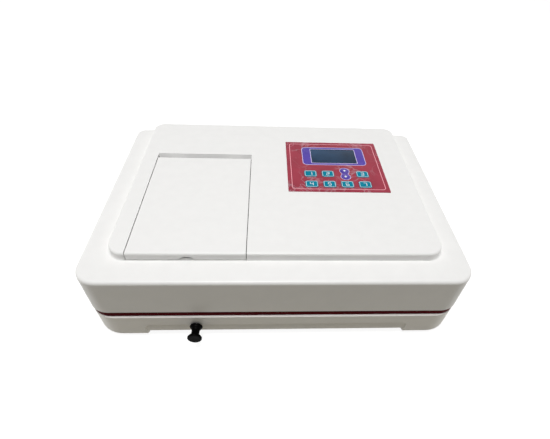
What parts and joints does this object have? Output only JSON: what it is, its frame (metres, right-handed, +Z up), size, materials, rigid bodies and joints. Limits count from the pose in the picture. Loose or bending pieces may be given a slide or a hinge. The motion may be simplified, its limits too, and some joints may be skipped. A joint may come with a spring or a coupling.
{
  "type": "spectrophotometer",
  "caption": "Bench spectrophotometer: white casing with hinged sample lid, pull-rod cell carriage, keypad with display, grating monochromator and lamps.",
  "frame": {"origin": "middle of the whole box, pull knob and rear fittings included, on the plane under the feet", "axes": "+Z up, front with the pull knob towards -Y, +X to the right seen from the front"},
  "size_m": [0.473, 0.3702, 0.1238],
  "materials": {
    "white_casing": "satin white enamel on moulded plastic",
    "accent_red": "dark red gloss",
    "overlay_red": "printed film, satin",
    "display_glass": "smoked clear pane",
    "key_teal": "printed film, satin",
    "key_purple": "printed film, satin",
    "black_plastic": "black gloss",
    "switch_red": "red gloss",
    "foot_rubber": "matt black",
    "plain_steel": "brushed",
    "black_metal": "matt black",
    "cast_alloy": "cast",
    "drive_brass": "machined",
    "circuit_board": "solder mask",
    "clear_quartz": "polished",
    "mirror_coat": "front-silvered",
    "lamp_ceramic": "unglazed"
  },
  "bodies": {
    "casing": {"base_tub": "white_casing", "accent_band": "accent_red", "top_cover": "white_casing", "cover_screws": "plain_steel", "rubber_feet": "foot_rubber", "hinge_pins": "plain_steel", "hinge_brackets": "cast_alloy", "lid_seal": "foot_rubber", "keypad_overlay": "overlay_red", "display_window": "display_glass", "display_module": "black_plastic", "keypad_board": "circuit_board", "sample_chamber": "black_metal", "chamber_windows": "clear_quartz", "carriage_rails": "plain_steel", "rod_bush": "drive_brass", "detector_housing": "black_metal", "detector": "drive_brass", "optical_bed": "cast_alloy", "exit_slit": "black_metal", "entrance_slit": "black_metal", "collimating_mirror": "mirror_coat", "mirror_mount": "cast_alloy", "screw_bearings": "cast_alloy", "wavelength_motor": "plain_steel", "filter_motor": "plain_steel", "mirror_motor": "plain_steel", "lamp_housing": "plain_steel", "lamp_holders": "lamp_ceramic", "deuterium_lamp": "clear_quartz", "tungsten_lamp": "clear_quartz", "power_supply": "plain_steel", "main_board": "circuit_board", "fan_frame": "black_plastic", "mains_inlet": "black_plastic", "switch_bezel": "black_plastic", "fuse_carrier": "black_plastic", "data_port": "plain_steel"},
    "lid": {"sample_lid": "white_casing"},
    "carriage": {"cell_carriage": "black_metal", "pull_rod": "plain_steel", "rod_knob": "black_plastic"},
    "grating_stage": {"grating": "mirror_coat", "grating_table": "cast_alloy", "sine_arm": "drive_brass"},
    "nut": {"drive_nut": "drive_brass"},
    "screw": {"lead_screw": "plain_steel"},
    "filter_disc": {"filter_wheel": "black_metal"},
    "mirror_turret": {"turning_mirror": "mirror_coat"},
    "fan": {"fan_rotor": "black_plastic"},
    "rocker": {"rocker_switch": "switch_red"},
    "key_rear_1_cap": {"key_rear_1": "key_teal"},
    "key_rear_2_cap": {"key_rear_2": "key_teal"},
    "key_rear_4_cap": {"key_rear_4": "key_teal"},
    "key_front_1_cap": {"key_front_1": "key_teal"},
    "key_front_2_cap": {"key_front_2": "key_teal"},
    "key_front_3_cap": {"key_front_3": "key_teal"},
    "key_front_4_cap": {"key_front_4": "key_teal"},
    "key_up_cap": {"key_up": "key_purple"},
    "key_down_cap": {"key_down": "key_purple"}
  },
  "joints": [
    {"name": "lid_hinge", "type": "hinge", "parent": "casing", "child": "lid", "pos_m": [-0.1099, 0.07555, 0.1182], "axis": [-1, 0, 0], "range_deg": [0, 95]},
    {"name": "rod_slide", "type": "slide", "parent": "casing", "child": "carriage", "axis": [0, -1, 0], "range_m": [0, 0.06]},
    {"name": "screw_turn", "type": "hinge", "parent": "casing", "child": "screw", "pos_m": [0.045, -0.04885, 0.054], "axis": [1, 0, 0], "range_deg": [-1801, 1801]},
    {"name": "nut_slide", "type": "slide", "parent": "casing", "child": "nut", "axis": [1, 0, 0], "range_m": [-0.01, 0.01]},
    {"name": "grating_turn", "type": "hinge", "parent": "casing", "child": "grating_stage", "pos_m": [0.045, 0.00615, 0.065], "axis": [0, 0, 1], "range_deg": [-10.43, 10.43]},
    {"name": "filter_turn", "type": "hinge", "parent": "casing", "child": "filter_disc", "pos_m": [0.012, 0.06115, 0.0755], "axis": [1, 0, 0], "continuous": true},
    {"name": "mirror_turn", "type": "hinge", "parent": "casing", "child": "mirror_turret", "pos_m": [-0.01, 0.06115, 0.065], "axis": [0, 0, 1], "range_deg": [-16, 0]},
    {"name": "fan_spin", "type": "hinge", "parent": "casing", "child": "fan", "pos_m": [-0.01, 0.16315, 0.0815], "axis": [0, 1, 0], "continuous": true},
    {"name": "rocker_throw", "type": "hinge", "parent": "casing", "child": "rocker", "pos_m": [0.18, 0.17315, 0.075], "axis": [1, 0, 0], "range_deg": [-18, 0]},
    {"name": "key_rear_1_press", "type": "slide", "parent": "casing", "child": "key_rear_1_cap", "axis": [0, 0, -1], "range_m": [0, 0.0004], "stiffness_N_per_m": 1500, "springref_m": -0.0004},
    {"name": "key_rear_2_press", "type": "slide", "parent": "casing", "child": "key_rear_2_cap", "axis": [0, 0, -1], "range_m": [0, 0.0004], "stiffness_N_per_m": 1500, "springref_m": -0.0004},
    {"name": "key_rear_4_press", "type": "slide", "parent": "casing", "child": "key_rear_4_cap", "axis": [0, 0, -1], "range_m": [0, 0.0004], "stiffness_N_per_m": 1500, "springref_m": -0.0004},
    {"name": "key_front_1_press", "type": "slide", "parent": "casing", "child": "key_front_1_cap", "axis": [0, 0, -1], "range_m": [0, 0.0004], "stiffness_N_per_m": 1500, "springref_m": -0.0004},
    {"name": "key_front_2_press", "type": "slide", "parent": "casing", "child": "key_front_2_cap", "axis": [0, 0, -1], "range_m": [0, 0.0004], "stiffness_N_per_m": 1500, "springref_m": -0.0004},
    {"name": "key_front_3_press", "type": "slide", "parent": "casing", "child": "key_front_3_cap", "axis": [0, 0, -1], "range_m": [0, 0.0004], "stiffness_N_per_m": 1500, "springref_m": -0.0004},
    {"name": "key_front_4_press", "type": "slide", "parent": "casing", "child": "key_front_4_cap", "axis": [0, 0, -1], "range_m": [0, 0.0004], "stiffness_N_per_m": 1500, "springref_m": -0.0004},
    {"name": "key_up_press", "type": "slide", "parent": "casing", "child": "key_up_cap", "axis": [0, 0, -1], "range_m": [0, 0.0004], "stiffness_N_per_m": 1500, "springref_m": -0.0004},
    {"name": "key_down_press", "type": "slide", "parent": "casing", "child": "key_down_cap", "axis": [0, 0, -1], "range_m": [0, 0.0004], "stiffness_N_per_m": 1500, "springref_m": -0.0004}
  ],
  "couplings": [
    {"joint": "screw_turn", "follows": "nut_slide", "rad_per_m": 3141.6},
    {"joint": "grating_turn", "follows": "nut_slide", "rad_per_m": 18.182}
  ]
}
